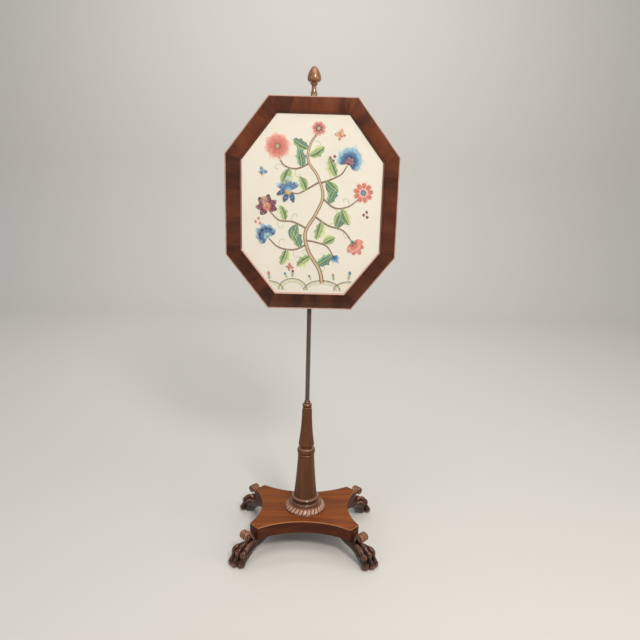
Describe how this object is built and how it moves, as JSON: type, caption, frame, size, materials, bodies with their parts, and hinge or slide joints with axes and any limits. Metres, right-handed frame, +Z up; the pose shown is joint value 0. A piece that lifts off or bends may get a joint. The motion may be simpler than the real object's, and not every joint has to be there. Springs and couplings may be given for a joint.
{
  "type": "fire screen",
  "caption": "Pole fire screen: an octagonal framed needlework panel that slides and turns on a pole over a turned column, a platform and carved paw feet.",
  "frame": {"origin": "on the floor, at the middle of the footprint, straight below the pole", "axes": "+Z up along the pole, the needlework faces -Y, +X to the viewer's right"},
  "size_m": [0.49, 0.3742, 1.466],
  "materials": {
    "platform_mahogany": "french polished, worn at the arrises",
    "carved_mahogany": "carved and polished, rubbed bright on the high points",
    "turned_mahogany": "turned and polished",
    "pole_mahogany": "turned, dark polish",
    "finial_mahogany": "turned, glossy polish",
    "frame_veneer": "cross-banded veneer, polished",
    "bead_mahogany": "half-round bead, rubbed bright",
    "secondary_wood": "bare softwood and birch",
    "back_mahogany": "thin board, oiled",
    "needlework": "wool embroidery on twill linen",
    "brass": "lacquered, dulled with age"
  },
  "bodies": {
    "stand": {"platform": "platform_mahogany", "foot_front_left": "carved_mahogany", "foot_front_right": "carved_mahogany", "foot_back_left": "carved_mahogany", "foot_back_right": "carved_mahogany", "foot_dowels": "secondary_wood", "collar_ring": "carved_mahogany", "column": "turned_mahogany", "column_wedge": "secondary_wood"},
    "pole": {"pole_lower": "pole_mahogany", "pole_stud": "brass", "pole_upper": "pole_mahogany"},
    "finial": {"finial": "finial_mahogany", "finial_pin": "brass"},
    "screen": {"rail_top": "frame_veneer", "rail_top_right": "frame_veneer", "rail_right": "frame_veneer", "rail_bottom_right": "frame_veneer", "rail_bottom": "frame_veneer", "rail_bottom_left": "frame_veneer", "rail_left": "frame_veneer", "rail_top_left": "frame_veneer", "edge_beads": "bead_mahogany", "mitre_keys": "secondary_wood", "needlework": "needlework", "stretcher_board": "secondary_wood", "back_board": "back_mahogany", "back_board_pins": "brass", "upper_fitting": "brass", "lower_fitting": "brass", "fitting_screws": "brass"},
    "clamp_pad": {"clamp_pad": "brass"},
    "clamp_screw": {"clamp_screw": "brass"}
  },
  "joints": [
    {"name": "pole_turn", "type": "hinge", "parent": "stand", "child": "pole", "pos_m": [0, 0, 0.457], "axis": [0, 0, 1], "continuous": true},
    {"name": "panel_slide", "type": "slide", "parent": "pole", "child": "screen", "axis": [0, 0, 1], "range_m": [-0.3, 0]},
    {"name": "finial_lift", "type": "slide", "parent": "pole", "child": "finial", "axis": [0, 0, 1], "range_m": [0, 0.03]},
    {"name": "pad_slide", "type": "slide", "parent": "screen", "child": "clamp_pad", "axis": [0, 1, 0], "range_m": [0, 0.0012]},
    {"name": "screw_turn", "type": "hinge", "parent": "clamp_pad", "child": "clamp_screw", "pos_m": [0, 0.02, 0.8108], "axis": [0, 1, 0], "range_deg": [0, 540]}
  ],
  "couplings": [
    {"joint": "screw_turn", "follows": "pad_slide", "rad_per_m": 7854}
  ]
}
